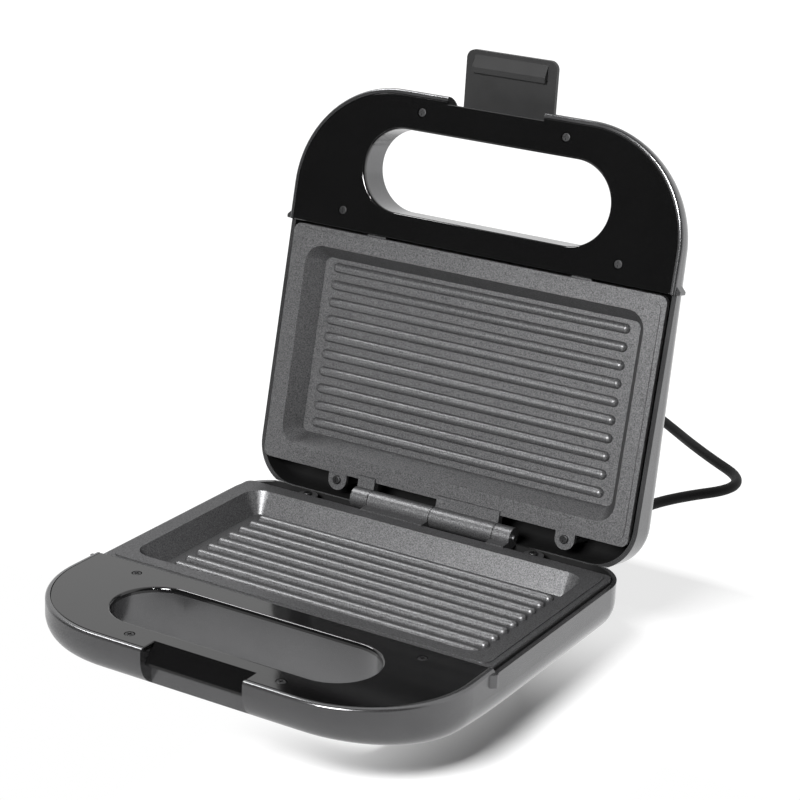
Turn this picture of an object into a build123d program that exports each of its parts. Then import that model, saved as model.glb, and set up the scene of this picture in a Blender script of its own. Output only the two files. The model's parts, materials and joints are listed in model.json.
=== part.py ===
from build123d import *
import math
import os

os.makedirs("parts", exist_ok=True)

# All sizes are millimetres. The model is drawn with the hinge axis on X, the front
# towards -Y and the lower half below z = 0, and is moved to its own origin at the end.

# Opening angle of the lid and swing of the latch
OPEN_ANGLE = 101.4
LATCH_SWING = 80.5

# Driving sizes: width of the press, length of a grill plate and of a handle
HOUSING_HALF_WIDTH = 112.5
PLATE_LENGTH = 127.3
HANDLE_LENGTH = 77.0

# Plate edges and where the handle begins
PLATE_SIDE_GAP = 3.6
PLATE_FRONT_GAP = 1.5
FLANGE_REAR = -9.2
FLANGE_FRONT = FLANGE_REAR - PLATE_LENGTH
FLANGE_HALF_WIDTH = HOUSING_HALF_WIDTH - PLATE_SIDE_GAP
HANDLE_START = FLANGE_FRONT - PLATE_FRONT_GAP

# Housing plan, shared by both halves
HOUSING_FRONT = HANDLE_START - HANDLE_LENGTH
HOUSING_REAR = 6.0
FRONT_CORNER = 57.5
REAR_CORNER = 24.0
HOUSING_WALL = 2.4
RIM_TOP = 0.9
RIM_ROUND = 1.6
EDGE_ROUND = 16.0
SIDE_WALL_TOP = 4.2
REAR_RELIEF_ANGLE = 0.8
NUB_OUT = 2.3
NUB_LENGTH = 4.2
NUB_TIP = 1.8
NUB_DEPTH = 6.5
NUB_ROUND = 0.7

# Depth of each half below its parting plane: rear, where the floor starts to rise, front
FLOOR_OVERRUN = 2.0
LOWER_DEPTHS = (30.6, HANDLE_START + 26.0, 30.6, 19.2)
UPPER_DEPTHS = (34.1, HANDLE_START - 12.0, 22.0, 15.6)

# Handle opening and handle cover
OPENING_HALF_LENGTH = HOUSING_HALF_WIDTH - 41.4
OPENING_RADIUS = 21.7
OPENING_Y = HANDLE_START - 35.2
OPENING_WALL = 2.2
COVER_LEVEL = 0.8
COVER_THICKNESS = 2.5
COVER_FIT = 0.15
COVER_REAR_ROUND = 1.0
COVER_EDGE = 0.4
COVER_LIP = 1.3
COVER_SCREW_REAR_X = HOUSING_HALF_WIDTH - 32.2
COVER_SCREW_REAR_Y = HANDLE_START - 9.6
COVER_SCREW_FRONT_X = 41.5
COVER_SCREW_FRONT_Y = HOUSING_FRONT + 10.3
BOSS_RADIUS = 4.2

# Catch notch, its ramp and the latch that hooks under it
NOTCH_HALF_WIDTH = 27.8
NOTCH_BACK = HOUSING_FRONT + 10.6
UPPER_NOTCH_BACK = HOUSING_FRONT + 3.9
LOWER_NOTCH_PANEL = HOUSING_FRONT + 8.6
UPPER_NOTCH_PANEL = HOUSING_FRONT + 12.4
NOTCH_WALL = 2.4
CATCH_EDGE_Y = HOUSING_FRONT + 3.8
CATCH_EDGE_TOP = 8.9
CATCH_UNDERSIDE = 10.2
CATCH_WALL = 1.8
CATCH_FIT = 0.4
LATCH_PIVOT_Y = HOUSING_FRONT + 8.1
LATCH_PIVOT_Z = 11.5
LATCH_HALF_WIDTH = 26.0
LATCH_OFFSET = 4.7
LATCH_THICKNESS = 2.6
LATCH_LENGTH = 33.2
LATCH_CORNER = 4.5
LATCH_EYE_RADIUS = 2.4
LATCH_EYE_WIDTH = 9.0
LATCH_PIN_RADIUS = 1.25
HOOK_HALF_WIDTH = 21.0
HOOK_DEPTH = 3.2
HOOK_LIP = 2.8
HOOK_RAMP = 6.0
PIN_CLEARANCE = 0.05

# Grill plates
FLANGE_CORNER = 4.0
FLANGE_LEVEL = 2.1
RIM_LEVEL = 1.5
RIM_INSET = 2.5
RIM_CORNER = 5.0
FLANGE_THICKNESS = 2.6
SKIRT_DEPTH = 5.7
SKIRT_WALL = 2.2
TRAY_RIM = 7.2
TRAY_CORNER = 10.0
TRAY_DEPTH = 11.1
TRAY_TAPER = 30.0
TRAY_WALL = 3.0
RIDGE_COUNT = 10
RIDGE_FIELD = PLATE_LENGTH - 42.9
RIDGE_SHIFT = -0.6
RIDGE_RADIUS = 2.6
RIDGE_HALF_LENGTH = FLANGE_HALF_WIDTH - 21.4
LUG_RADIUS = 5.5
LUG_THICKNESS = 2.4
REAR_LUG_TOP = 3.7
REAR_LUG_Y = FLANGE_REAR + 3.8
REAR_LUG_LEFT = -FLANGE_HALF_WIDTH + 34.9
REAR_LUG_RIGHT = FLANGE_HALF_WIDTH - 46.9
FRONT_LUG_TOP = 5.2
FRONT_LUG_Y = FLANGE_FRONT - 5.0
FRONT_LUG_X = FLANGE_HALF_WIDTH - 48.9

# Hinge
KNUCKLE_RADIUS = 5.5
LONG_KNUCKLE = 37.0
SHORT_KNUCKLE = 10.0
KNUCKLE_GAP = 0.4
HINGE_PIN_RADIUS = 2.0
HINGE_PIN_OVERHANG = 1.2
WEB_TOP = 0.8
WEB_BOTTOM = 5.2

# Screws
SCREW_RADIUS = 1.4
SCREW_HEAD_RADIUS = 2.3
SCREW_HEAD_HEIGHT = 1.4
SCREW_HEAD_FIT = 0.3
SCREW_LENGTH = 9.0
SCREW_HOLE_RADIUS = 1.7
SCREW_RECESS = 0.7
SCREW_RECESS_WIDTH = 0.7
SCREW_RECESS_REACH = 1.4

# Heating and control
ELEMENT_RADIUS = 3.1
ELEMENT_HALF_WIDTH = FLANGE_HALF_WIDTH - 34.9
ELEMENT_REAR = FLANGE_REAR - 20.8
ELEMENT_FRONT = FLANGE_FRONT + 28.5
ELEMENT_BEND = 18.0
ELEMENT_TERMINAL_X = 40.0
TERMINAL_RADIUS = 1.5
TERMINAL_LENGTH = 14.0
ELEMENT_SEAT = 0.1
SHIELD_HALF_WIDTH = FLANGE_HALF_WIDTH - 16.9
SHIELD_REAR = FLANGE_REAR - 15.8
SHIELD_FRONT = FLANGE_FRONT + 38.5
SHIELD_SHEET = 0.6
SHIELD_GAP = 0.5
SHIELD_LIP = 2.4
SHIELD_POST_INSET = 12.0
THERMOSTAT_RADIUS = 8.0
THERMOSTAT_HEIGHT = 6.0
THERMOSTAT_ROUND = 1.0
THERMOSTAT_Y = FLANGE_REAR - 52.8
TAB_WIDTH = 3.2
TAB_SHEET = 0.8
TAB_REACH = 2.6
FUSE_RADIUS = 2.2
FUSE_LENGTH = 22.0
FUSE_LEAD_RADIUS = 0.6
FUSE_LEAD_LENGTH = 8.0
FUSE_X = -34.0
LAMP_RADIUS = 3.6
LAMP_SPACING = 26.0
LAMP_Y = HANDLE_START - 5.0
LAMP_PROUD = 1.2
LAMP_TAIL = 3.0
LAMP_FIT = 0.1
BLOCK_X = 20.0
BLOCK_Y = FLANGE_REAR - 8.4
BLOCK_HALF_LENGTH = 12.0
BLOCK_HALF_WIDTH = 6.0
BLOCK_TOP = 16.5
BLOCK_SEAT = 0.05
BLOCK_ROUND = 1.0
WIRE_RADIUS = 1.2
WIRE_BEND = 5.0
WIRE_TURN_X = 8.0

# Feet and vents
FOOT_RADIUS = 8.5
FOOT_HEIGHT = 6.4
FOOT_ROUND = 1.2
FOOT_X = HOUSING_HALF_WIDTH - 34.5
FOOT_REAR_Y = HOUSING_REAR - 26.0
FOOT_FRONT_Y = HANDLE_START + 30.0
VENT_COUNT = 7
VENT_PITCH = 9.0
VENT_WIDTH = 3.0
VENT_LENGTH = 26.0
VENT_Y = FLANGE_REAR - 56.8

# Mains lead: strain relief, free cord, coil, tie and plug
GLAND_X = 44.0
GLAND_Z = -16.0
RELIEF_LENGTH = 34.0
RELIEF_ROOT = 4.9
RELIEF_TIP = 4.1
RELIEF_FIT = 0.05
RELIEF_COLLAR = 5.8
RELIEF_COLLAR_REAR = 0.9
RELIEF_COLLAR_WIDTH = 1.8
CORD_RADIUS = 3.1
CORD_SOCKET = 12.0
CORD_SOCKET_FIT = 0.1
BEND_SHARE = 0.45
COIL_CENTRE = (-82.0, 282.0)
COIL_RADIUS = 37.0
COIL_STEP = 8.0
COIL_RISE = 6.8
COIL_START = 110.0
COIL_LOWER_TURNS = 1.0
COIL_CLIMB_TURNS = 0.5
COIL_END = 180.0
COIL_TAIL = 26.0
COIL_APPROACH = 40.0
TIE_ANGLE = 20.0
TIE_WIDTH = 7.0
TIE_SHEET = 0.8
TIE_FIT = 0.45
PLUG_LENGTH = 34.0
PLUG_HALF_WIDTH = 13.0
PLUG_ROUND = 4.0
PLUG_RELIEF = 12.0
PLUG_RELIEF_ROOT = 6.0
BLADE_LENGTH = 17.0
BLADE_WIDTH = 6.3
BLADE_THICKNESS = 1.5
BLADE_SPACING = 12.7

LOWER_DEPTH = LOWER_DEPTHS[0]
TABLE_Z = -LOWER_DEPTH - FOOT_HEIGHT
TRAY_FLOOR = RIM_LEVEL + TRAY_DEPTH
TRAY_UNDERSIDE = TRAY_FLOOR + TRAY_WALL
ELEMENT_Z = -TRAY_UNDERSIDE - ELEMENT_SEAT - ELEMENT_RADIUS
COVER_BOTTOM = COVER_LEVEL + COVER_THICKNESS
SHIELD_LEVEL = -ELEMENT_Z + ELEMENT_RADIUS + SHIELD_GAP
KNUCKLE_START = KNUCKLE_GAP / 2
LONG_END = KNUCKLE_START + LONG_KNUCKLE
SHORT_START = LONG_END + KNUCKLE_GAP
LOWER_KNUCKLES = ((-LONG_END, -KNUCKLE_START), (SHORT_START, SHORT_START + SHORT_KNUCKLE))
HINGE_PIN_REACH = SHORT_START + SHORT_KNUCKLE + HINGE_PIN_OVERHANG
PLATE_MIDDLE = (FLANGE_REAR + FLANGE_FRONT) / 2


# Places that repeat on both sides
def both_sides(x, *rest):
    return [(-x, *rest), (x, *rest)]


COVER_SCREWS = both_sides(COVER_SCREW_FRONT_X, COVER_SCREW_FRONT_Y)
COVER_SCREWS += both_sides(COVER_SCREW_REAR_X, COVER_SCREW_REAR_Y)
PLATE_SCREWS = [(x, REAR_LUG_Y, REAR_LUG_TOP) for x in (REAR_LUG_LEFT, REAR_LUG_RIGHT)]
PLATE_SCREWS += both_sides(FRONT_LUG_X, FRONT_LUG_Y, FRONT_LUG_TOP)
SHIELD_POST_X = SHIELD_HALF_WIDTH - SHIELD_POST_INSET
SHIELD_POSTS = both_sides(SHIELD_POST_X, SHIELD_REAR - SHIELD_POST_INSET)
SHIELD_POSTS += both_sides(SHIELD_POST_X, SHIELD_FRONT + SHIELD_POST_INSET)
FEET = both_sides(FOOT_X, FOOT_REAR_Y) + both_sides(FOOT_X, FOOT_FRONT_Y)
CORD_Z = TABLE_Z + CORD_RADIUS
COIL_Z = CORD_Z + TIE_SHEET + TIE_FIT
CORD_START_Y = HOUSING_REAR + RELIEF_LENGTH - CORD_SOCKET
FAR = 400.0
OPEN_TOP = 20.0


# Small helpers
def block(x0, x1, y0, y1, z0, z1):
    centre = Pos((x0 + x1) / 2, (y0 + y1) / 2, (z0 + z1) / 2)
    return centre * Box(x1 - x0, y1 - y0, z1 - z0)


def post(x, y, z0, z1, radius):
    return Pos(x, y, (z0 + z1) / 2) * Cylinder(radius, z1 - z0)


def slab(plan, z0, z1):
    return extrude(Pos(0, 0, z0) * plan, amount=z1 - z0, dir=(0, 0, 1))


def rod_x(x0, x1, y, z, radius):
    return Pos((x0 + x1) / 2, y, z) * Rot(0, 90, 0) * Cylinder(radius, x1 - x0)


def side_prism(edges, x0, x1):
    section = make_face(Plane.YZ * edges)
    return extrude(Pos(x0, 0, 0) * section, amount=x1 - x0, dir=(1, 0, 0))


def side_polygon(points, x0, x1):
    return side_prism(Polyline(*points, close=True), x0, x1)


def rounded_plan(half_width, front, rear, front_round, rear_round):
    plan = Pos(0, (front + rear) / 2) * Rectangle(2 * half_width, rear - front)
    plan = fillet(plan.vertices().sort_by(Axis.Y)[:2], front_round)
    return fillet(plan.vertices().sort_by(Axis.Y)[-2:], rear_round)


def stadium(grow):
    radius = OPENING_RADIUS + grow
    return Pos(0, OPENING_Y) * SlotOverall(2 * (OPENING_HALF_LENGTH + grow), 2 * radius)


# Upper pieces are drawn like lower ones, turned over about Y and swung open about X
def on_lid(shape):
    return Rot(-OPEN_ANGLE, 0, 0) * Rot(0, 180, 0) * shape


# Outer form of a half: plan, floor line and a large rounded lower edge
def housing_form(depths, inset, top):
    rear_depth, bend_y, bend_depth, front_depth = depths
    front = HOUSING_FRONT + inset
    rear = HOUSING_REAR - inset
    plan = rounded_plan(HOUSING_HALF_WIDTH - inset, front, rear, FRONT_CORNER - inset, REAR_CORNER - inset)
    body = slab(plan, -FAR, top)
    rear_point = (HOUSING_REAR + FLOOR_OVERRUN, -rear_depth + inset)
    bend_point = (bend_y, -bend_depth + inset)
    front_point = (HOUSING_FRONT - FLOOR_OVERRUN, -front_depth + inset)
    slope = (bend_point[0] - rear_point[0], bend_point[1] - rear_point[1])
    below = Polyline(rear_point, (rear_point[0], -2 * FAR), (front_point[0], -2 * FAR), front_point)
    rise = TangentArc(bend_point, front_point, tangent=slope)
    floor = Line(bend_point, rear_point)
    body -= side_prism(below + rise + floor, -FAR, FAR)
    floor_faces = body.faces().filter_by(lambda f: f.normal_at(f.center()).Z < -0.8)
    edges = [e for f in floor_faces for e in f.edges() if not is_bend(e, bend_y)]
    return fillet(edges, EDGE_ROUND - inset)


def is_bend(edge, bend_y):
    middle = edge.position_at(0.5)
    return abs(middle.Y - bend_y) < 0.01 and abs(middle.X) < 1.0


def floor_depth(depths, y):
    rear_depth, bend_y, bend_depth, front_depth = depths
    rear = HOUSING_REAR + FLOOR_OVERRUN
    front = HOUSING_FRONT - FLOOR_OVERRUN
    if y > bend_y:
        return rear_depth + (bend_depth - rear_depth) * (rear - y) / (rear - bend_y)
    return bend_depth + (front_depth - bend_depth) * (bend_y - y) / (bend_y - front)


def plate_zone(z0, z1):
    return block(-FAR, FAR, HANDLE_START, FAR, z0, z1)


# Small flare at the end of the handle rim
def rim_nub(side):
    edge = side * HOUSING_HALF_WIDTH
    root = edge - side * HOUSING_WALL / 2
    tip = edge + side * NUB_OUT
    front = HANDLE_START - NUB_LENGTH
    slope_end = HANDLE_START - NUB_TIP
    points = ((root, HANDLE_START), (root, front), (edge, front), (tip, slope_end), (tip, HANDLE_START))
    plan = make_face(Polyline(*points, close=True))
    plan = fillet(plan.vertices().filter_by(lambda v: abs(v.X - tip) < NUB_ROUND), NUB_ROUND)
    return slab(plan, -RIM_TOP - RIM_ROUND - NUB_DEPTH, -RIM_TOP - RIM_ROUND)


# Housing shell with its handle loop, notch, bosses and posts
def housing(depths, notch_panel):
    outer = housing_form(depths, 0, -RIM_TOP)
    outer = fillet(outer.faces().sort_by(Axis.Z)[-1].edges(), RIM_ROUND)
    outer -= plate_zone(-SIDE_WALL_TOP, FAR)
    outer += [rim_nub(-1), rim_nub(1)]
    core = housing_form(depths, HOUSING_WALL / 2, OPEN_TOP)
    shell = outer - housing_form(depths, HOUSING_WALL, OPEN_TOP)
    inside = [slab(stadium(OPENING_WALL), -FAR, -COVER_BOTTOM)]
    for x, y in COVER_SCREWS:
        inside.append(post(x, y, -FAR, -COVER_BOTTOM, BOSS_RADIUS))
    for x, y, top in PLATE_SCREWS:
        inside.append(post(x, y, -FAR, -top - LUG_THICKNESS, BOSS_RADIUS))
    for x, y in SHIELD_POSTS:
        inside.append(post(x, y, -FAR, -SHIELD_LEVEL - SHIELD_SHEET, BOSS_RADIUS))
    notch_side = NOTCH_HALF_WIDTH + NOTCH_WALL
    notch_box = block(-notch_side, notch_side, HOUSING_FRONT, notch_panel + NOTCH_WALL, -FAR, -COVER_BOTTOM)
    inside.append(notch_box)
    shell += [piece & core for piece in inside]
    shell -= slab(stadium(0), -FAR, 0)
    shell -= block(-NOTCH_HALF_WIDTH, NOTCH_HALF_WIDTH, -FAR, notch_panel, -FAR, FAR)
    ramp_space = NOTCH_BACK + NOTCH_WALL
    shell -= block(-NOTCH_HALF_WIDTH, NOTCH_HALF_WIDTH, -FAR, ramp_space, -CATCH_UNDERSIDE, FAR)
    for x, y in COVER_SCREWS:
        shell -= post(x, y, -COVER_BOTTOM - SCREW_LENGTH, 0, SCREW_RADIUS)
    for x, y, top in PLATE_SCREWS:
        shell -= post(x, y, -top - SCREW_LENGTH, 0, SCREW_RADIUS)
    return shell - rear_clearance()


# The rear edges of both halves are bevelled so that they meet when the lid is open
def rear_clearance():
    drop = math.tan(math.radians(OPEN_ANGLE / 2 + REAR_RELIEF_ANGLE))
    reach = 3 * HOUSING_REAR
    points = ((0, -CATCH_FIT), (reach, -CATCH_FIT - drop * reach), (reach, reach), (0, reach))
    return side_polygon(points, -FAR, FAR)


def lower_housing():
    shell = housing(LOWER_DEPTHS, LOWER_NOTCH_PANEL)
    first = -VENT_PITCH * (VENT_COUNT - 1) / 2
    for i in range(VENT_COUNT):
        slot = Pos(first + i * VENT_PITCH, VENT_Y) * Rot(0, 0, 90) * SlotOverall(VENT_LENGTH, VENT_WIDTH)
        shell -= slab(slot, -LOWER_DEPTH - HOUSING_WALL, -LOWER_DEPTH + 2 * HOUSING_WALL)
    return shell - gland_rod(RELIEF_ROOT + RELIEF_FIT, 0, FAR)


def upper_housing():
    shell = housing(UPPER_DEPTHS, UPPER_NOTCH_PANEL)
    for x in (-LAMP_SPACING / 2, LAMP_SPACING / 2):
        shell -= post(x, LAMP_Y, -FAR, -COVER_BOTTOM, LAMP_RADIUS + LAMP_FIT)
    reach = NOTCH_HALF_WIDTH + 2 * NOTCH_WALL
    return shell - rod_x(-reach, reach, LATCH_PIVOT_Y, -LATCH_PIVOT_Z, LATCH_PIN_RADIUS)


# Handle cover with its opening, its notch for the latch and its screw holes
def handle_cover(notch_back):
    inset = HOUSING_WALL + COVER_FIT
    half_width = HOUSING_HALF_WIDTH - inset
    front = HOUSING_FRONT + inset
    plan = rounded_plan(half_width, front, HANDLE_START, FRONT_CORNER - inset, COVER_REAR_ROUND)
    plan -= stadium(0)
    plan -= Pos(0, front) * Rectangle(2 * NOTCH_HALF_WIDTH, 2 * (notch_back - front))
    cover = slab(plan, -COVER_BOTTOM, -COVER_LEVEL)
    cover = chamfer(cover.faces().sort_by(Axis.Z)[-1].outer_wire().edges(), COVER_EDGE)
    cover = fillet(cover.faces().sort_by(Axis.Z)[-1].inner_wires()[0].edges(), COVER_LIP)
    for x, y in COVER_SCREWS:
        cover -= post(x, y, -FAR, 0, SCREW_HOLE_RADIUS)
        cover -= post(x, y, -COVER_LEVEL - SCREW_HEAD_HEIGHT, 0, SCREW_HEAD_RADIUS + SCREW_HEAD_FIT)
    return cover


# Ramp in the notch of the lower cover: the latch rides over it and hooks under its edge
def catch_ramp():
    level = -COVER_LEVEL - COVER_EDGE
    points = (
        (NOTCH_BACK + CATCH_WALL, level),
        (NOTCH_BACK, level),
        (CATCH_EDGE_Y, -CATCH_EDGE_TOP),
        (CATCH_EDGE_Y, -CATCH_UNDERSIDE),
        (CATCH_EDGE_Y + CATCH_WALL, -CATCH_UNDERSIDE),
        (NOTCH_BACK + CATCH_WALL, -COVER_BOTTOM),
    )
    side = NOTCH_HALF_WIDTH - CATCH_FIT
    return side_polygon(points, -side, side)


# Grill plate: a cast tray with ridges, a stepped flange, lugs and hinge knuckles
def grill_plate():
    flange = rounded_plan(FLANGE_HALF_WIDTH, FLANGE_FRONT, FLANGE_REAR, FLANGE_CORNER, FLANGE_CORNER)
    skirt = rounded_plan(
        FLANGE_HALF_WIDTH - SKIRT_WALL,
        FLANGE_FRONT + SKIRT_WALL,
        FLANGE_REAR - SKIRT_WALL,
        FLANGE_CORNER - SKIRT_WALL,
        FLANGE_CORNER - SKIRT_WALL,
    )
    rim = rounded_plan(
        FLANGE_HALF_WIDTH - RIM_INSET,
        FLANGE_FRONT + RIM_INSET,
        FLANGE_REAR - RIM_INSET,
        RIM_CORNER,
        RIM_CORNER,
    )
    flange_bottom = FLANGE_LEVEL + FLANGE_THICKNESS
    body = slab(flange, -SKIRT_DEPTH, -FLANGE_LEVEL)
    body -= slab(skirt, -SKIRT_DEPTH, -flange_bottom)
    body += slab(rim, -flange_bottom, -RIM_LEVEL)
    inset = RIM_INSET + TRAY_RIM
    body += tray_form(inset - TRAY_WALL, TRAY_DEPTH + TRAY_WALL)
    body -= tray_form(inset, TRAY_DEPTH)
    ridges = []
    for i in range(RIDGE_COUNT):
        y = PLATE_MIDDLE + RIDGE_SHIFT + RIDGE_FIELD * (0.5 - i / (RIDGE_COUNT - 1))
        half = RIDGE_HALF_LENGTH - RIDGE_RADIUS
        ridges.append(rod_x(-half, half, y, -TRAY_FLOOR, RIDGE_RADIUS))
        for x in (-half, half):
            ridges.append(Pos(x, y, -TRAY_FLOOR) * Sphere(RIDGE_RADIUS))
    body += ridges
    for x, y, top in PLATE_SCREWS:
        body += lug(x, y, top)
    for x, y, top in PLATE_SCREWS:
        body -= post(x, y, -FAR, 0, SCREW_HOLE_RADIUS)
    for x0, x1 in LOWER_KNUCKLES:
        body += rod_x(x0, x1, 0, 0, KNUCKLE_RADIUS)
        body += block(x0, x1, FLANGE_REAR - SKIRT_WALL, 0, -WEB_BOTTOM, -WEB_TOP)
    return body


def tray_form(inset, depth):
    plan = rounded_plan(
        FLANGE_HALF_WIDTH - inset,
        FLANGE_FRONT + inset,
        FLANGE_REAR - inset,
        TRAY_CORNER,
        TRAY_CORNER,
    )
    return extrude(Pos(0, 0, -RIM_LEVEL) * plan, amount=depth, dir=(0, 0, -1), taper=TRAY_TAPER)


# Screw ear joined to the skirt of the flange
def lug(x, y, top):
    low = -top - LUG_THICKNESS
    if y > FLANGE_REAR:
        root_y0, root_y1, inner = FLANGE_REAR - SKIRT_WALL, FLANGE_REAR, FLANGE_REAR - SKIRT_WALL
    else:
        root_y0, root_y1, inner = FLANGE_FRONT, FLANGE_FRONT + SKIRT_WALL, FLANGE_FRONT + SKIRT_WALL
    ear = post(x, y, low, -top, LUG_RADIUS)
    neck = block(x - LUG_RADIUS, x + LUG_RADIUS, min(inner, y), max(inner, y), low, -top)
    root = block(x - LUG_RADIUS, x + LUG_RADIUS, root_y0, root_y1, low, -FLANGE_LEVEL - FLANGE_THICKNESS)
    return ear + neck + root


# Cross-head screw standing on its seat
def screw(x, y, seat):
    head = post(x, y, seat, seat + SCREW_HEAD_HEIGHT, SCREW_HEAD_RADIUS)
    head = fillet(head.edges().sort_by(Axis.Z)[-1], SCREW_HEAD_HEIGHT / 3)
    shank = post(x, y, seat - SCREW_LENGTH, seat, SCREW_RADIUS)
    top = seat + SCREW_HEAD_HEIGHT
    arm = SCREW_RECESS_REACH
    width = SCREW_RECESS_WIDTH / 2
    slot_a = block(x - arm, x + arm, y - width, y + width, top - SCREW_RECESS, top + 1)
    slot_b = block(x - width, x + width, y - arm, y + arm, top - SCREW_RECESS, top + 1)
    return head + shank - slot_a - slot_b


def cover_screws():
    seat = -COVER_LEVEL - SCREW_HEAD_HEIGHT
    return [screw(x, y, seat) for x, y in COVER_SCREWS]


def plate_screws():
    return [screw(x, y, -top) for x, y, top in PLATE_SCREWS]


# Tubular element bent round the underside of the tray
def heating_element():
    z = ELEMENT_Z
    points = (
        (-ELEMENT_TERMINAL_X, ELEMENT_REAR, z),
        (-ELEMENT_HALF_WIDTH, ELEMENT_REAR, z),
        (-ELEMENT_HALF_WIDTH, ELEMENT_FRONT, z),
        (ELEMENT_HALF_WIDTH, ELEMENT_FRONT, z),
        (ELEMENT_HALF_WIDTH, ELEMENT_REAR, z),
        (ELEMENT_TERMINAL_X, ELEMENT_REAR, z),
    )
    path = FilletPolyline(*points, radius=ELEMENT_BEND)
    section = Plane(origin=path @ 0, z_dir=path % 0) * Circle(ELEMENT_RADIUS)
    tube = sweep(section, path=path)
    for side in (-1, 1):
        inner = side * (ELEMENT_TERMINAL_X - TERMINAL_LENGTH)
        outer = side * (ELEMENT_TERMINAL_X + TERMINAL_RADIUS)
        tube += rod_x(min(inner, outer), max(inner, outer), ELEMENT_REAR, z, TERMINAL_RADIUS)
    return tube


# Pressed reflector with turned-up sides, resting on posts
def heat_shield():
    low = -SHIELD_LEVEL - SHIELD_SHEET
    sheet = block(-SHIELD_HALF_WIDTH, SHIELD_HALF_WIDTH, SHIELD_FRONT, SHIELD_REAR, low, -SHIELD_LEVEL)
    inner = SHIELD_HALF_WIDTH - SHIELD_SHEET
    for x in (-SHIELD_HALF_WIDTH, inner):
        sheet += block(x, x + SHIELD_SHEET, SHIELD_FRONT, SHIELD_REAR, low, low + SHIELD_LIP)
    return sheet


def thermostat():
    top = -TRAY_UNDERSIDE
    can = post(0, THERMOSTAT_Y, top - THERMOSTAT_HEIGHT, top, THERMOSTAT_RADIUS)
    can = fillet(can.edges().sort_by(Axis.Z)[0], THERMOSTAT_ROUND)
    reach = THERMOSTAT_RADIUS + TAB_REACH
    middle = top - THERMOSTAT_HEIGHT / 2
    tab = Pos(0, THERMOSTAT_Y, middle) * Box(2 * reach, TAB_SHEET, TAB_WIDTH)
    return can + tab


def thermal_fuse():
    z = -TRAY_UNDERSIDE - FUSE_RADIUS - ELEMENT_SEAT
    half = FUSE_LENGTH / 2
    body = rod_x(FUSE_X - half, FUSE_X + half, THERMOSTAT_Y, z, FUSE_RADIUS)
    reach = half + FUSE_LEAD_LENGTH
    return body + rod_x(FUSE_X - reach, FUSE_X + reach, THERMOSTAT_Y, z, FUSE_LEAD_RADIUS)


def lamp(x):
    seat = floor_depth(UPPER_DEPTHS, LAMP_Y)
    lens = post(x, LAMP_Y, -seat - LAMP_PROUD, -seat + HOUSING_WALL + LAMP_TAIL, LAMP_RADIUS)
    return fillet(lens.edges().sort_by(Axis.Z)[0], LAMP_PROUD)


def feet():
    pads = []
    for x, y in FEET:
        pad = post(x, y, TABLE_Z, -LOWER_DEPTH, FOOT_RADIUS)
        pads.append(fillet(pad.edges().sort_by(Axis.Z)[0], FOOT_ROUND))
    return pads


# Latch in its locked place, and its turn to the place where the open lid shows it
def latch():
    inner = LATCH_PIVOT_Y - LATCH_OFFSET
    outer = inner - LATCH_THICKNESS
    pivot = -LATCH_PIVOT_Z
    top = pivot - LATCH_EYE_RADIUS
    tip = pivot + LATCH_LENGTH
    plate = block(-LATCH_HALF_WIDTH, LATCH_HALF_WIDTH, outer, inner, top, tip)
    plate = fillet(plate.edges().filter_by(Axis.Y).group_by(Axis.Z)[-1], LATCH_CORNER)
    hook_z = CATCH_UNDERSIDE + CATCH_FIT
    hook = side_polygon(
        (
            (inner, hook_z),
            (inner + HOOK_DEPTH, hook_z),
            (inner + HOOK_DEPTH, hook_z + HOOK_LIP),
            (inner, hook_z + HOOK_LIP + HOOK_RAMP),
        ),
        -HOOK_HALF_WIDTH,
        HOOK_HALF_WIDTH,
    )
    body = plate + hook
    for side in (-1, 1):
        x0 = side * (LATCH_HALF_WIDTH - LATCH_EYE_WIDTH)
        x1 = side * LATCH_HALF_WIDTH
        low, high = min(x0, x1), max(x0, x1)
        body += rod_x(low, high, LATCH_PIVOT_Y, pivot, LATCH_EYE_RADIUS)
        body += block(low, high, inner, LATCH_PIVOT_Y, top, pivot + LATCH_PIN_RADIUS)
    return body - rod_x(-FAR, FAR, LATCH_PIVOT_Y, pivot, LATCH_PIN_RADIUS + PIN_CLEARANCE)


def latch_raised(shape):
    to_pivot = Pos(0, LATCH_PIVOT_Y, -LATCH_PIVOT_Z)
    return to_pivot * Rot(LATCH_SWING, 0, 0) * to_pivot.inverse() * shape


def latch_pin():
    reach = NOTCH_HALF_WIDTH + NOTCH_WALL + CATCH_FIT
    return rod_x(-reach, reach, LATCH_PIVOT_Y, -LATCH_PIVOT_Z, LATCH_PIN_RADIUS)


# Rod along the axis of the cord gland
def gland_rod(radius, y0, y1):
    return Pos(GLAND_X, (y0 + y1) / 2, GLAND_Z) * Rot(90, 0, 0) * Cylinder(radius, y1 - y0)


# Tapered boot held in the rear wall by a collar inside
def strain_relief():
    boot = Pos(GLAND_X, HOUSING_REAR + RELIEF_LENGTH / 2, GLAND_Z) * Rot(-90, 0, 0) * Cone(
        RELIEF_ROOT, RELIEF_TIP, RELIEF_LENGTH
    )
    collar_front = RELIEF_COLLAR_REAR - RELIEF_COLLAR_WIDTH
    boot += gland_rod(RELIEF_ROOT, collar_front, HOUSING_REAR)
    boot += gland_rod(RELIEF_COLLAR, collar_front, RELIEF_COLLAR_REAR)
    return boot - gland_rod(CORD_RADIUS + CORD_SOCKET_FIT, CORD_START_Y, FAR)


# Point, tangent and free route of the coil, counted in turns from where the cord enters it
def coil_angle(turn):
    return math.radians(COIL_START + 360 * turn)


def coil_radius(turn):
    inward = COIL_STEP * min(turn, COIL_LOWER_TURNS)
    outward = COIL_STEP * max(turn - COIL_LOWER_TURNS - COIL_CLIMB_TURNS, 0)
    return COIL_RADIUS - inward + outward


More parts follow.
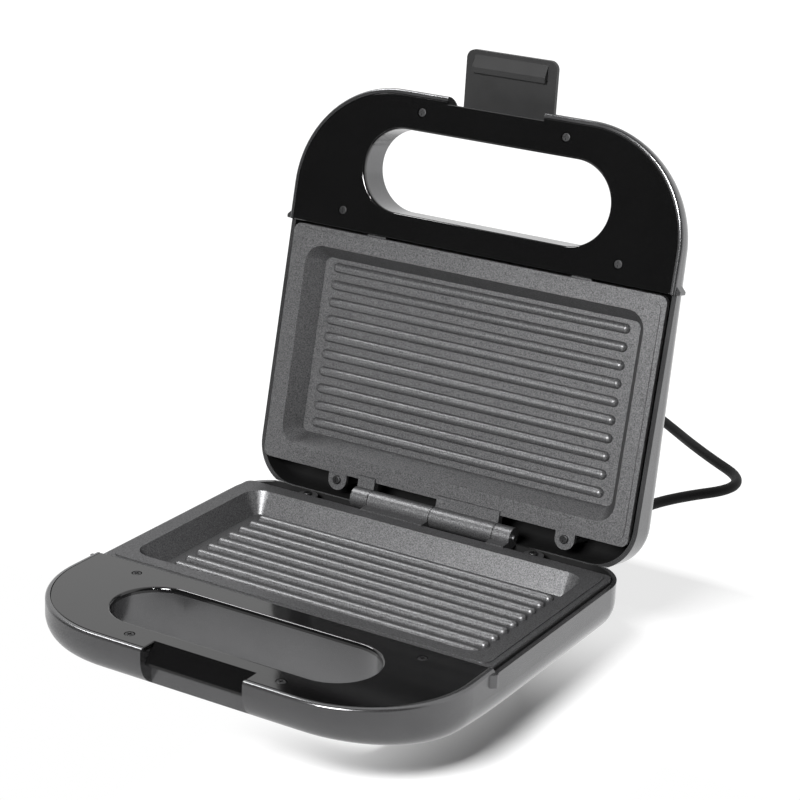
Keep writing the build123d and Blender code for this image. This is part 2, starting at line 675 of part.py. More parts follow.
def coil_height(turn):
    share = min(max((turn - COIL_LOWER_TURNS) / COIL_CLIMB_TURNS, 0), 1)
    return COIL_Z + COIL_RISE * share * share * (3 - 2 * share)


def coil_point(turn):
    angle = coil_angle(turn)
    radius = coil_radius(turn)
    x = COIL_CENTRE[0] + radius * math.cos(angle)
    y = COIL_CENTRE[1] + radius * math.sin(angle)
    return Vector(x, y, coil_height(turn))


def coil_tangent(turn):
    step = 0.02
    low = max(turn - step, 0)
    high = min(turn + step, COIL_TURNS)
    return (coil_point(high) - coil_point(low)).normalized()


# Two arcs that join two points with the given directions
def biarc(start, end, start_dir, end_dir):
    gap = end - start
    total = start_dir + end_dir
    bend = 2 * (1 - start_dir.dot(end_dir))
    lean = gap.dot(total)
    arm = (math.sqrt(lean * lean + bend * gap.dot(gap)) - lean) / bend
    first = start + start_dir * arm
    second = end - end_dir * arm
    middle = (first + second) * 0.5
    return [
        TangentArc(start, middle, tangent=start_dir),
        TangentArc(middle, end, tangent=(second - first).normalized()),
    ]


def coil_path():
    stops = [i / 4 for i in range(math.ceil(4 * COIL_TURNS))] + [COIL_TURNS]
    lead = coil_point(0) - coil_tangent(0) * 2 * CORD_RADIUS
    edges = [Line(lead, coil_point(0))]
    for low, high in zip(stops[:-1], stops[1:]):
        edges += biarc(coil_point(low), coil_point(high), coil_tangent(low), coil_tangent(high))
    end = coil_point(COIL_TURNS)
    edges.append(Line(end, end + TAIL_DIR * COIL_TAIL))
    return edges


def round_tube(edges, radius):
    path = Wire(edges)
    section = Plane(origin=path @ 0, z_dir=path % 0) * Circle(radius)
    return sweep(section, path=path)


COIL_TURNS = COIL_LOWER_TURNS + COIL_CLIMB_TURNS
COIL_TURNS += ((COIL_END - COIL_START) / 360 - COIL_TURNS) % 1
TAIL_DIR = coil_tangent(COIL_TURNS)
TAIL_DIR = Vector(TAIL_DIR.X, TAIL_DIR.Y, 0).normalized()
PLUG_START = coil_point(COIL_TURNS) + TAIL_DIR * COIL_TAIL
CORD_END = coil_point(0) - coil_tangent(0) * 2 * CORD_RADIUS
CORD_APPROACH = CORD_END - coil_tangent(0) * COIL_APPROACH

# Free stretch of the cord, from the boot to the coil, along the table
CORD_ROUTE = (
    (GLAND_X, CORD_START_Y, GLAND_Z),
    (GLAND_X, 60.0, GLAND_Z),
    (45.0, 100.0, CORD_Z),
    (46.0, 140.0, CORD_Z),
    (53.0, 177.0, CORD_Z),
    (87.5, 227.0, CORD_Z),
    (38.0, 262.5, CORD_Z),
    (-8.0, 303.0, CORD_Z),
    (CORD_APPROACH.X, CORD_APPROACH.Y, CORD_APPROACH.Z),
    (CORD_END.X, CORD_END.Y, CORD_END.Z),
)


def route_radii(points):
    radii = []
    for before, here, after in zip(points[:-2], points[1:-1], points[2:]):
        into = Vector(here) - Vector(before)
        out = Vector(after) - Vector(here)
        half_turn = math.radians(into.get_angle(out)) / 2
        radii.append(BEND_SHARE * min(into.length, out.length) / math.tan(half_turn))
    return radii


def power_cord():
    radii = route_radii(CORD_ROUTE)
    print("cord radii", [round(r, 1) for r in radii])
    path = FilletPolyline(*CORD_ROUTE, radius=radii)
    tube = round_tube(path.edges(), CORD_RADIUS)
    print("cord length", round(path.length, 1), "volume ratio", tube.volume / tube_volume(path.length))
    return tube


def tube_volume(length):
    return math.pi * CORD_RADIUS**2 * length


def cord_coil():
    edges = coil_path()
    length = sum(edge.length for edge in edges)
    tube = round_tube(edges, CORD_RADIUS)
    print("coil length", round(length, 1), "volume ratio", tube.volume / tube_volume(length))
    print("coil least gap", round(least_gap(edges), 2))
    return tube


# Least free space between two turns, measured on points along the tube
def least_gap(edges):
    points = []
    run = 0.0
    for edge in edges:
        count = max(math.ceil(edge.length / 2), 1)
        for i in range(count):
            points.append((run + edge.length * i / count, edge @ (i / count)))
        run += edge.length
    least = FAR
    for i, (run_a, a) in enumerate(points):
        for run_b, b in points[i + 1 :]:
            if run_b - run_a > 8 * CORD_RADIUS:
                least = min(least, (a - b).length)
    return least - 2 * CORD_RADIUS


# Band round the stacked turns of the coil
def cord_tie():
    angle = math.radians(TIE_ANGLE)
    lower_turn = ((TIE_ANGLE - COIL_START) / 360) % 1
    radius = (coil_radius(lower_turn) + coil_radius(lower_turn + 1)) / 2
    inner = CORD_RADIUS + TIE_FIT
    outer = inner + TIE_SHEET
    slot = SlotCenterToCenter(COIL_RISE, 2 * outer) - SlotCenterToCenter(COIL_RISE, 2 * inner)
    band = extrude(Rot(0, 0, 90) * slot, amount=TIE_WIDTH / 2, both=True)
    x = COIL_CENTRE[0] + radius * math.cos(angle)
    y = COIL_CENTRE[1] + radius * math.sin(angle)
    place = Plane(
        origin=(x, y, COIL_Z + COIL_RISE / 2),
        x_dir=(math.cos(angle), math.sin(angle), 0),
        z_dir=(math.sin(angle), -math.cos(angle), 0),
    )
    return place * band


# Plug lying on the table in line with the end of the cord
def plug_place():
    return Plane(origin=PLUG_START, x_dir=(TAIL_DIR.Y, -TAIL_DIR.X, 0), z_dir=TAIL_DIR)


def plug_body():
    half_height = PLUG_START.Z - TABLE_Z
    middle = PLUG_RELIEF + PLUG_LENGTH / 2
    body = Pos(0, 0, middle) * Box(2 * PLUG_HALF_WIDTH, 2 * half_height, PLUG_LENGTH)
    body = fillet(body.edges().filter_by(Axis.Z), PLUG_ROUND)
    relief = Pos(0, 0, PLUG_RELIEF / 2) * Cone(RELIEF_TIP, PLUG_RELIEF_ROOT, PLUG_RELIEF)
    return plug_place() * (body + relief)


def plug_pins():
    start = PLUG_RELIEF + PLUG_LENGTH
    blades = []
    for side in (-1, 1):
        place = Pos(side * BLADE_SPACING / 2, 0, start + BLADE_LENGTH / 2)
        blades.append(plug_place() * place * Box(BLADE_THICKNESS, BLADE_WIDTH, BLADE_LENGTH))
    return blades


# Terminal block on the floor of a half, and wires from it to the element
def terminal_block(depths):
    floor = floor_depth(depths, BLOCK_Y - BLOCK_HALF_WIDTH) - HOUSING_WALL - BLOCK_SEAT
    body = block(
        BLOCK_X - BLOCK_HALF_LENGTH,
        BLOCK_X + BLOCK_HALF_LENGTH,
        BLOCK_Y - BLOCK_HALF_WIDTH,
        BLOCK_Y + BLOCK_HALF_WIDTH,
        -floor,
        -BLOCK_TOP,
    )
    return chamfer(body.faces().sort_by(Axis.Z)[-1].edges(), BLOCK_ROUND)


def wiring():
    end = ELEMENT_TERMINAL_X - TERMINAL_LENGTH
    turn = BLOCK_X - WIRE_TURN_X
    right = ((end, ELEMENT_REAR), (turn, ELEMENT_REAR), (turn, BLOCK_Y - BLOCK_HALF_WIDTH))
    side = BLOCK_X - BLOCK_HALF_LENGTH
    left = ((-end, ELEMENT_REAR), (-WIRE_TURN_X, ELEMENT_REAR), (-WIRE_TURN_X, BLOCK_Y), (side, BLOCK_Y))
    wires = []
    for route in (right, left):
        path = FilletPolyline(*[(x, y, ELEMENT_Z) for x, y in route], radius=WIRE_BEND)
        wires.append(round_tube(path.edges(), WIRE_RADIUS))
    return wires


def lower_plate():
    return grill_plate() - rod_x(-FAR, FAR, 0, 0, HINGE_PIN_RADIUS)


def upper_plate():
    return grill_plate() - rod_x(-FAR, FAR, 0, 0, HINGE_PIN_RADIUS + PIN_CLEARANCE)


def hinge_pin():
    return rod_x(-HINGE_PIN_REACH, HINGE_PIN_REACH, 0, 0, HINGE_PIN_RADIUS)


lower_parts = {
    "lower_housing": lower_housing(),
    "lower_handle_cover": handle_cover(NOTCH_BACK) + catch_ramp(),
    "lower_grill_plate": lower_plate(),
    "lower_heating_element": heating_element(),
    "lower_heat_shield": heat_shield(),
    "lower_plate_screws": plate_screws(),
    "lower_cover_screws": cover_screws(),
    "lower_terminal_block": terminal_block(LOWER_DEPTHS),
    "lower_wiring": wiring(),
    "thermostat": thermostat(),
    "thermal_fuse": thermal_fuse(),
    "feet": feet(),
    "hinge_pin": hinge_pin(),
    "strain_relief": strain_relief(),
}

upper_parts = {
    "upper_housing": upper_housing(),
    "upper_handle_cover": handle_cover(UPPER_NOTCH_BACK),
    "upper_grill_plate": upper_plate(),
    "upper_heating_element": heating_element(),
    "upper_heat_shield": heat_shield(),
    "upper_plate_screws": plate_screws(),
    "upper_cover_screws": cover_screws(),
    "upper_terminal_block": terminal_block(UPPER_DEPTHS),
    "upper_wiring": wiring(),
    "power_lamp": lamp(-LAMP_SPACING / 2),
    "ready_lamp": lamp(LAMP_SPACING / 2),
    "latch": latch_raised(latch()),
    "latch_pin": latch_pin(),
}

cord_parts = {
    "power_cord": power_cord(),
    "cord_coil": cord_coil(),
    "cord_tie": cord_tie(),
    "plug_body": plug_body(),
    "plug_pins": plug_pins(),
}


# One shape per node: a list of separate solids becomes a group
def grouped(shape):
    return Compound(children=list(shape)) if isinstance(shape, list) else shape


body_nodes = {name: grouped(shape) for name, shape in lower_parts.items()}
body_nodes.update({name: on_lid(grouped(shape)) for name, shape in upper_parts.items()})
cord_nodes = {name: grouped(shape) for name, shape in cord_parts.items()}

# The origin is the middle of the underside of the press, without its cord
boxes = [shape.bounding_box() for shape in body_nodes.values()]
rear = max(box.max.Y for box in boxes)
front = min(box.min.Y for box in boxes)
ORIGIN = Pos(0, -(front + rear) / 2, -TABLE_Z)
for name, shape in {**body_nodes, **cord_nodes}.items():
    export_step(ORIGIN * shape, "parts/" + name + ".step")

# Places that the record and the scene repeat
print("hinge", ORIGIN.position)
pivot = on_lid(Pos(0, LATCH_PIVOT_Y, -LATCH_PIVOT_Z))
print("latch pivot", (ORIGIN * pivot).position)
for point in CORD_ROUTE:
    print("route", tuple(round(v, 2) for v in ORIGIN.position + Vector(point)))
middle = ORIGIN.position + Vector(*COIL_CENTRE, COIL_Z)
print("coil centre", tuple(round(v, 2) for v in middle), "turns", COIL_TURNS)
print("plug", tuple(round(v, 2) for v in ORIGIN.position + PLUG_START), "direction", TAIL_DIR)
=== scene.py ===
import bpy
import json
import math
from mathutils import Matrix, Vector

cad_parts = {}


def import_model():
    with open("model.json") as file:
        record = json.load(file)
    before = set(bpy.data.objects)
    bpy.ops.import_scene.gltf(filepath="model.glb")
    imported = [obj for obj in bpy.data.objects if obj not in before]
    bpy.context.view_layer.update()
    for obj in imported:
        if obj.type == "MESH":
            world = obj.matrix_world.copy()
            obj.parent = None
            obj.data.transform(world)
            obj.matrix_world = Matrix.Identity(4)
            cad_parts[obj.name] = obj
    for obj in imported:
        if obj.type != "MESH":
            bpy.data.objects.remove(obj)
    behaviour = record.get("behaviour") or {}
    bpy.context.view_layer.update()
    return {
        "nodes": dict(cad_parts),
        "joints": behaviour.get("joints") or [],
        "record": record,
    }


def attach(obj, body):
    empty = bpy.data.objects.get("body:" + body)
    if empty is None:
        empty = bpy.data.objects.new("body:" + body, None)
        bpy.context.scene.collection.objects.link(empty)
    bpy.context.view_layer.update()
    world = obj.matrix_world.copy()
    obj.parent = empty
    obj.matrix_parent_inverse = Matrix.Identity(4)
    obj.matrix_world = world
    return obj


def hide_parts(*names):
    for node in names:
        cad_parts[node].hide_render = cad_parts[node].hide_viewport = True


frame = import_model()
nodes = frame["nodes"]

# The lid's hinge, in metres, and the directions of the open lid: to its handle, and out of its plate
LID_JOINT = frame["joints"][0]
HINGE = Vector(LID_JOINT["pos_m"])
LID_OPENING = math.radians(LID_JOINT["range_deg"][1])
LID_ALONG = Vector((0, -math.cos(LID_OPENING), math.sin(LID_OPENING)))
LID_FACING = Vector((0, -math.sin(LID_OPENING), -math.cos(LID_OPENING)))

# Camera, fitted to the photograph: metres and degrees, about the hinge axis
CAMERA_AZIMUTH = 30.006
CAMERA_ELEVATION = 19.324
CAMERA_ROLL = 2.645
CAMERA_DISTANCE = 1.1642
CAMERA_TARGET = HINGE + Vector((0.0002, -0.040, 0.0756))
CAMERA_FIELD = 19.304
CAMERA_CLIP = 50

# Surfaces: the middle part of the noise that is used, and its share of the roughness
NOISE_RANGE = (0.3, 0.7)
CLOUD_DETAIL = 3.0
GRAIN_DETAIL = 2.0
GRAIN_HEIGHT = 0.0001
ROUGHNESS_SPREAD = 0.1
COOL_TINT = 1.02

# Housings: the centre of each tray from the hinge, and how far the painted shade on its inside reaches to
# the handle
TRAY_CENTRE = 0.070
TRAY_DEPTH = 0.0059
TRAY_REACH = 0.068
BASE_ALONG = Vector((0, -1, 0))
BASE_TRAY = HINGE + BASE_ALONG * TRAY_CENTRE - Vector((0, 0, TRAY_DEPTH))
LID_TRAY = HINGE + LID_ALONG * TRAY_CENTRE - LID_FACING * TRAY_DEPTH
# Painted shade on the inside of each housing tray: its near-black grey and its roughness
SHADE_INSIDE_GREY = 0.006
SHADE_INSIDE_ROUGHNESS = 0.55

# Cord: the route of the CAD tube, then the turns of its coil
CORD_DIAMETER = 0.0062
CORD_ROUTE = (
    (0.0440, 0.10522, 0.0210),
    (0.0440, 0.13722, 0.0210),
    (0.0450, 0.17722, 0.0031),
    (0.0460, 0.21722, 0.0031),
    (0.0530, 0.25422, 0.0031),
    (0.0875, 0.30422, 0.0031),
    (0.0380, 0.33972, 0.0031),
    (-0.0080, 0.38022, 0.0031),
    (-0.0510, 0.41122, 0.00435),
)
COIL_CENTRE = Vector((-0.082, 0.35922, 0.00435))
COIL_RADIUS = 0.037
COIL_STEP = 0.008
COIL_RISE = 0.0068
COIL_START = 110.0
COIL_TURNS = 2.1944
COIL_LOWER_TURNS = 1
COIL_CLIMB_TURNS = 0.5
COIL_POINTS_PER_TURN = 16
PLUG_ENTRY = (-0.11914, 0.33335, 0.01115)
CORD_ROUND_STEPS = 6
CORD_LENGTH_STEPS = 12
CORD_CURVE_ORDER = 3

# Floor, a hair below the feet. Each edge of the shadow: axis, start and end in metres, glow at start and end
FLOOR_HALF_WIDTH = 3.0
FLOOR_FRONT = -0.75
FLOOR_REAR = 4.0
FLOOR_DROP = 0.0002
FLOOR_COLOUR = 0.90
SHADOW_GLOW = 0.05
FAINT_GLOW = 0.68
SHADOW_EDGES = (
    ("X", 0.00, 0.13, 1, SHADOW_GLOW),
    ("X", 0.13, 0.19, SHADOW_GLOW, 1),
    ("Y", -0.34, -0.24, 1, SHADOW_GLOW),
    ("Y", -0.05, 0.09, SHADOW_GLOW, FAINT_GLOW),
    ("Y", 0.12, 0.19, SHADOW_GLOW, 1),
)
MIRRORED_SPAN = (-0.25, 0.05)
MIRRORED_GLOW = (0.40, 1.15)

# World: its light on the press, and the backdrop that mirrors show, from front to rear
STUDIO_LIGHT = 0.03
BACKDROP_SPAN = (-0.30, 0.20)
BACKDROP_GLOW = (0.03, 1.0)


# Node helpers
def new_material(name):
    material = bpy.data.materials.new(name)
    material.use_nodes = True
    shader = material.node_tree.nodes["Principled BSDF"]
    return material, material.node_tree, shader


def object_noise(tree, scale, detail):
    where = tree.nodes.new("ShaderNodeTexCoord")
    noise = tree.nodes.new("ShaderNodeTexNoise")
    noise.inputs["Scale"].default_value = scale
    noise.inputs["Detail"].default_value = detail
    tree.links.new(where.outputs["Object"], noise.inputs["Vector"])
    return noise.outputs["Fac"]


def remapped(tree, value, from_min, from_max, to_min, to_max, interpolation="SMOOTHSTEP"):
    ranged = tree.nodes.new("ShaderNodeMapRange")
    ranged.interpolation_type = interpolation
    ranged.inputs["From Min"].default_value = from_min
    ranged.inputs["From Max"].default_value = from_max
    ranged.inputs["To Min"].default_value = to_min
    ranged.inputs["To Max"].default_value = to_max
    tree.links.new(value, ranged.inputs["Value"])
    return ranged.outputs["Result"]


def spread(tree, noise, low, high):
    return remapped(tree, noise, *NOISE_RANGE, low, high, interpolation="LINEAR")


def calculate(tree, operation, first, second):
    step = tree.nodes.new("ShaderNodeMath")
    step.operation = operation
    tree.links.new(first, step.inputs[0])
    tree.links.new(second, step.inputs[1])
    return step.outputs["Value"]


def is_below(tree, value, limit):
    step = tree.nodes.new("ShaderNodeMath")
    step.operation = "LESS_THAN"
    step.inputs[1].default_value = limit
    tree.links.new(value, step.inputs[0])
    return step.outputs["Value"]


def vector_step(tree, operation, first):
    step = tree.nodes.new("ShaderNodeVectorMath")
    step.operation = operation
    tree.links.new(first, step.inputs[0])
    return step


def tinted(tree, value, dark, light):
    mix = tree.nodes.new("ShaderNodeMix")
    mix.data_type = "RGBA"
    mix.inputs["A"].default_value = (*dark, 1)
    mix.inputs["B"].default_value = (*light, 1)
    tree.links.new(value, mix.inputs["Factor"])
    return mix.outputs["Result"]


def bumped(tree, shader, value, strength, distance):
    bump = tree.nodes.new("ShaderNodeBump")
    bump.inputs["Strength"].default_value = strength
    bump.inputs["Distance"].default_value = distance
    tree.links.new(value, bump.inputs["Height"])
    tree.links.new(bump.outputs["Normal"], shader.inputs["Normal"])


def mixed(tree, factor, first, second, output):
    mix = tree.nodes.new("ShaderNodeMixShader")
    tree.links.new(factor, mix.inputs["Fac"])
    tree.links.new(first, mix.inputs[1])
    tree.links.new(second, mix.inputs[2])
    tree.links.new(mix.outputs["Shader"], output.inputs["Surface"])


# One where a ray is seen directly, in a mirror or through glass
def seen_rays(tree):
    rays = tree.nodes.new("ShaderNodeLightPath")
    total = rays.outputs["Is Camera Ray"]
    for kind in ("Is Glossy Ray", "Is Transmission Ray"):
        total = calculate(tree, "MAXIMUM", total, rays.outputs[kind])
    return total


def grey(value):
    return (value, value, value * COOL_TINT)


# One moulded or coated surface: grain for the bump, cloudy or speckled tone and roughness
def surface(
    name, colour, roughness, grain, bump,
    metallic=0.0, tone=0.06, specular=0.5, cloud_scale=35.0, edge=1.0,
):
    material, tree, shader = new_material(name)
    cloud = object_noise(tree, cloud_scale, CLOUD_DETAIL)
    dark = tuple(c * (1 - tone) for c in colour)
    light = tuple(c * (1 + tone) for c in colour)
    toned = tinted(tree, spread(tree, cloud, 0, 1), dark, light)
    smoother = roughness * (1 - ROUGHNESS_SPREAD)
    rougher = roughness * (1 + ROUGHNESS_SPREAD)
    tree.links.new(toned, shader.inputs["Base Color"])
    tree.links.new(spread(tree, cloud, smoother, rougher), shader.inputs["Roughness"])
    shader.inputs["Metallic"].default_value = metallic
    shader.inputs["Specular IOR Level"].default_value = specular
    shader.inputs["Specular Tint"].default_value = (edge, edge, edge, 1)
    bumped(tree, shader, object_noise(tree, grain, GRAIN_DETAIL), bump, GRAIN_HEIGHT)
    return material


# Mask of the painted shade: one on faces that look to the centre of a housing's tray, up to the handle, and
# zero elsewhere
def tray_shade_mask(tree, centre, along):
    where = tree.nodes.new("ShaderNodeTexCoord")
    from_centre = vector_step(tree, "SUBTRACT", where.outputs["Object"])
    from_centre.inputs[1].default_value = centre
    offset = from_centre.outputs["Vector"]
    outward = vector_step(tree, "DOT_PRODUCT", where.outputs["Normal"])
    tree.links.new(offset, outward.inputs[1])
    reach = vector_step(tree, "DOT_PRODUCT", offset)
    reach.inputs[1].default_value = along
    faces_in = is_below(tree, outward.outputs["Value"], 0)
    short_of_handle = is_below(tree, reach.outputs["Value"], TRAY_REACH)
    return calculate(tree, "MULTIPLY", faces_in, short_of_handle)


# Puts another value on a linked socket of the shader where the mask is one
def masked(tree, entry, mask, kind, value):
    before = entry.links[0].from_socket
    mix = tree.nodes.new("ShaderNodeMix")
    mix.data_type = kind
    used = {socket.name: socket for socket in mix.inputs if socket.enabled}
    tree.links.new(mask, used["Factor"])
    tree.links.new(before, used["A"])
    used["B"].default_value = value
    result = next(socket for socket in mix.outputs if socket.enabled)
    tree.links.new(result, entry)


# A housing is grey paint outside; inside its tray, up to the handle, it has painted shade: near-black, rough
# and not metallic
def housing(name, centre, along, metallic, **paint):
    material = surface(name, metallic=metallic, **paint)
    tree = material.node_tree
    shader = tree.nodes["Principled BSDF"]
    # Painted shade: faces inside the tray, up to the handle, are made near-black, rough and not metallic
    inside = tray_shade_mask(tree, centre, along)
    masked(tree, shader.inputs["Base Color"], inside, "RGBA", (*grey(SHADE_INSIDE_GREY), 1))
    masked(tree, shader.inputs["Roughness"], inside, "FLOAT", SHADE_INSIDE_ROUGHNESS)
    tree.links.new(remapped(tree, inside, 0, 1, metallic, 0), shader.inputs["Metallic"])
    return material


# Looks of the material slots
HOUSING_PAINT = dict(colour=grey(0.15), roughness=0.22, grain=2200.0, bump=0.05, metallic=0.85)
LOOKS = {
    "cover_black": dict(colour=grey(0.004), roughness=0.08, grain=2600.0, bump=0.02, specular=0.65),
    "grill_coating": dict(
        colour=grey(0.160), roughness=0.40, grain=1800.0, bump=0.50,
        metallic=0.75, tone=0.48, cloud_scale=1600.0, edge=0.30,
    ),
    "steel": dict(colour=grey(0.42), roughness=0.30, grain=1200.0, bump=0.05, metallic=1.0),
    "latch_dark": dict(colour=grey(0.013), roughness=0.50, grain=1800.0, bump=0.12),
    "screw_steel": dict(colour=grey(0.06), roughness=0.45, grain=1500.0, bump=0.05, metallic=1.0),
    "element_sheath": dict(colour=(0.30, 0.27, 0.24), roughness=0.42, grain=900.0, bump=0.08, metallic=1.0),
    "shield_sheet": dict(colour=grey(0.70), roughness=0.25, grain=700.0, bump=0.05, metallic=1.0),
    "control_body": dict(colour=grey(0.02), roughness=0.45, grain=1500.0, bump=0.08),
    "fuse_body": dict(colour=(0.55, 0.45, 0.25), roughness=0.30, grain=1500.0, bump=0.05, metallic=1.0),
    "terminal_ceramic": dict(colour=(0.72, 0.68, 0.60), roughness=0.50, grain=1200.0, bump=0.08),
    "wire_sleeve": dict(colour=(0.62, 0.58, 0.50), roughness=0.75, grain=2500.0, bump=0.30),
    "lamp_red": dict(colour=(0.42, 0.012, 0.008), roughness=0.12, grain=1500.0, bump=0.02),
    "lamp_green": dict(colour=(0.012, 0.32, 0.035), roughness=0.12, grain=1500.0, bump=0.02),
    "foot_rubber": dict(colour=grey(0.02), roughness=0.70, grain=1500.0, bump=0.20),
    "cord_black": dict(colour=grey(0.004), roughness=0.60, grain=1800.0, bump=0.12, specular=0.15),
    "tie_black": dict(colour=grey(0.02), roughness=0.60, grain=1500.0, bump=0.20),
    "plug_black": dict(colour=grey(0.014), roughness=0.45, grain=1800.0, bump=0.12),
    "blade_brass": dict(colour=(0.72, 0.60, 0.32), roughness=0.25, grain=1200.0, bump=0.04, metallic=1.0),
}
MATERIALS = {slot: surface(slot, **look) for slot, look in LOOKS.items()}
HOUSINGS = {
    "lower_housing": housing("housing_grey", BASE_TRAY, BASE_ALONG, **HOUSING_PAINT),
    "upper_housing": housing("lid_grey", LID_TRAY, LID_ALONG, **HOUSING_PAINT),
}


def dress_nodes():
    slots = {part["node"]: part["material_slot"] for part in frame["record"]["subparts"]}
    for name, node in nodes.items():
        material = HOUSINGS[name] if name in HOUSINGS else MATERIALS[slots[name]]
        for slot in node.material_slots:
            slot.material = material


# Points of the coil: wound in on the lower layer, then up and out again on the upper one
def coil_points():
    count = math.ceil(COIL_TURNS * COIL_POINTS_PER_TURN)
    outside_of_arc = 1 / math.cos(math.pi * COIL_TURNS / count)
    points = []
    for i in range(count + 1):
        turn = COIL_TURNS * i / count
        angle = math.radians(COIL_START + 360 * turn)
        wound_in = min(turn, COIL_LOWER_TURNS)
        wound_out = max(turn - COIL_LOWER_TURNS - COIL_CLIMB_TURNS, 0)
        radius = (COIL_RADIUS - COIL_STEP * (wound_in - wound_out)) * outside_of_arc
        share = min(max((turn - COIL_LOWER_TURNS) / COIL_CLIMB_TURNS, 0), 1)
        rise = COIL_RISE * share * share * (3 - 2 * share)
        points.append(COIL_CENTRE + Vector((radius * math.cos(angle), radius * math.sin(angle), rise)))
    return points


def cord():
    points = [Vector(p) for p in CORD_ROUTE] + coil_points() + [Vector(PLUG_ENTRY)]
    curve = bpy.data.curves.new("mains_lead", "CURVE")
    curve.dimensions = "3D"
    curve.bevel_depth = CORD_DIAMETER / 2
    curve.bevel_resolution = CORD_ROUND_STEPS
    curve.resolution_u = CORD_LENGTH_STEPS
    curve.use_fill_caps = True
    spline = curve.splines.new("NURBS")
    spline.points.add(len(points) - 1)
    for target, point in zip(spline.points, points):
        target.co = (*point, 1)
    spline.order_u = CORD_CURVE_ORDER
    spline.use_endpoint_u = True
    lead = bpy.data.objects.new("mains_lead", curve)
    bpy.context.scene.collection.objects.link(lead)
    curve.materials.append(MATERIALS["cord_black"])
    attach(lead, "base")
    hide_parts("power_cord", "cord_coil")


# Camera from its angles, with a little roll
def camera():
    az, el, roll = (math.radians(a) for a in (CAMERA_AZIMUTH, CAMERA_ELEVATION, CAMERA_ROLL))
    back = Vector((math.sin(az) * math.cos(el), -math.cos(az) * math.cos(el), math.sin(el)))
    right = Vector((math.cos(az), math.sin(az), 0))
    up = back.cross(right)
    rolled_right = right * math.cos(roll) + up * math.sin(roll)
    rolled_up = up * math.cos(roll) - right * math.sin(roll)
    data = bpy.data.cameras.new("camera")
    data.angle = math.radians(CAMERA_FIELD)
    data.clip_end = CAMERA_CLIP
    eye = bpy.data.objects.new("camera", data)
    place = Matrix((rolled_right, rolled_up, back)).transposed().to_4x4()
    place.translation = CAMERA_TARGET + back * CAMERA_DISTANCE
    eye.matrix_world = place
    bpy.context.scene.collection.objects.link(eye)
    bpy.context.scene.camera = eye


# White to the camera except for the shadow; in mirrors it glows, and less in front of the press
def floor_material():
    material = bpy.data.materials.new("floor_white")
    material.use_nodes = True
    tree = material.node_tree
    tree.nodes.clear()
    rays = tree.nodes.new("ShaderNodeLightPath")
    lit = tree.nodes.new("ShaderNodeBsdfDiffuse")
    lit.inputs["Color"].default_value = (FLOOR_COLOUR, FLOOR_COLOUR, FLOOR_COLOUR, 1)
    glow = tree.nodes.new("ShaderNodeEmission")
    where = tree.nodes.new("ShaderNodeNewGeometry")
    parts = tree.nodes.new("ShaderNodeSeparateXYZ")
    tree.links.new(where.outputs["Position"], parts.inputs["Vector"])
    mirrored = remapped(tree, parts.outputs["Y"], *MIRRORED_SPAN, *MIRRORED_GLOW)
    strength = calculate(tree, "MAXIMUM", mirrored, rays.outputs["Is Camera Ray"])
    tree.links.new(strength, glow.inputs["Strength"])
    away = rays.outputs["Is Glossy Ray"]
    for axis, start, end, first, last in SHADOW_EDGES:
        edge = remapped(tree, parts.outputs[axis], start, end, first, last)
        away = calculate(tree, "MAXIMUM", away, edge)
    factor = calculate(tree, "MULTIPLY", away, seen_rays(tree))
    output = tree.nodes.new("ShaderNodeOutputMaterial")
    mixed(tree, factor, lit.outputs["BSDF"], glow.outputs["Emission"], output)
    return material


def floor():
    mesh = bpy.data.meshes.new("floor")
    corners = (
        (-FLOOR_HALF_WIDTH, FLOOR_FRONT, 0),
        (FLOOR_HALF_WIDTH, FLOOR_FRONT, 0),
        (FLOOR_HALF_WIDTH, FLOOR_REAR, 0),
        (-FLOOR_HALF_WIDTH, FLOOR_REAR, 0),
    )
    mesh.from_pydata(corners, [], [(0, 1, 2, 3)])
    mesh.materials.append(floor_material())
    sweep = bpy.data.objects.new("floor", mesh)
    sweep.location.z = -FLOOR_DROP
    bpy.context.scene.collection.objects.link(sweep)
    return sweep


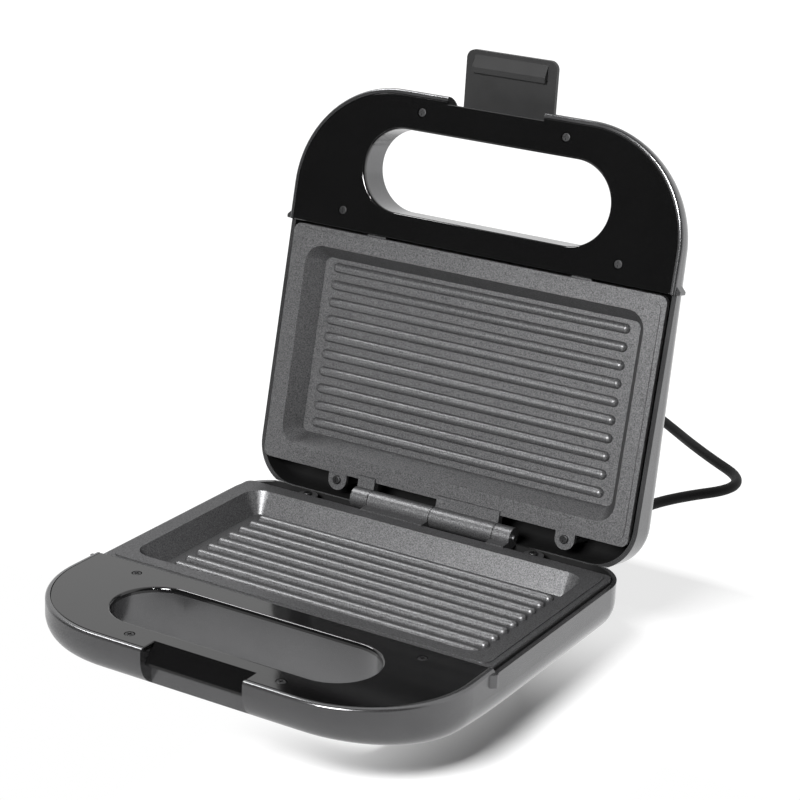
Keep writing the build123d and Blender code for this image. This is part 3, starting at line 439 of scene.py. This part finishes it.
# Studio: a weak even light, and a backdrop that the camera sees white and mirrors see dark in front
def world():
    scene_world = bpy.data.worlds.new("studio")
    bpy.context.scene.world = scene_world
    scene_world.use_nodes = True
    tree = scene_world.node_tree
    tree.nodes.clear()
    where = tree.nodes.new("ShaderNodeTexCoord")
    parts = tree.nodes.new("ShaderNodeSeparateXYZ")
    tree.links.new(where.outputs["Generated"], parts.inputs["Vector"])
    studio = tree.nodes.new("ShaderNodeBackground")
    studio.inputs["Strength"].default_value = STUDIO_LIGHT
    backdrop = tree.nodes.new("ShaderNodeBackground")
    backdrop.inputs["Color"].default_value = (1, 1, 1, 1)
    mirrored = remapped(tree, parts.outputs["Y"], *BACKDROP_SPAN, *BACKDROP_GLOW)
    rays = tree.nodes.new("ShaderNodeLightPath")
    strength = calculate(tree, "MAXIMUM", mirrored, rays.outputs["Is Camera Ray"])
    tree.links.new(strength, backdrop.inputs["Strength"])
    output = tree.nodes.new("ShaderNodeOutputWorld")
    mixed(tree, seen_rays(tree), studio.outputs["Background"], backdrop.outputs["Background"], output)


def area_light(name, place, target, size, power):
    data = bpy.data.lights.new(name, "AREA")
    data.shape = "RECTANGLE"
    data.size, data.size_y = size
    data.energy = power
    lamp = bpy.data.objects.new(name, data)
    lamp.location = place
    lamp.rotation_euler = (Vector(target) - Vector(place)).to_track_quat("-Z", "Y").to_euler()
    bpy.context.scene.collection.objects.link(lamp)
    return lamp


# A lamp that lights only the floor ("INCLUDE") or all but the floor ("EXCLUDE")
def link_floor(lamp, sweep, state):
    group = bpy.data.collections.new(lamp.name + "_floor")
    group.objects.link(sweep)
    group.collection_objects[0].light_linking.link_state = state
    lamp.light_linking.receiver_collection = group


# The key casts the shadow, the fill lights the press, and the glint is seen only in gloss
def lamps(sweep):
    key = area_light("key", place=(-0.35, -0.95, 1.65), target=(0, 0, 0.03), size=(0.9, 0.9), power=64)
    fill = area_light("fill", place=(0.15, -1.50, 0.92), target=(0, 0, 0.14), size=(0.6, 0.4), power=48)
    glint = area_light("glint", place=(-1.00, 0.05, 1.50), target=(0, 0, 0.05), size=(0.5, 0.5), power=12)
    link_floor(key, sweep, "INCLUDE")
    link_floor(fill, sweep, "EXCLUDE")
    glint.visible_diffuse = False


dress_nodes()
cord()
camera()
lamps(floor())
world()
bpy.context.scene.view_settings.view_transform = "Standard"
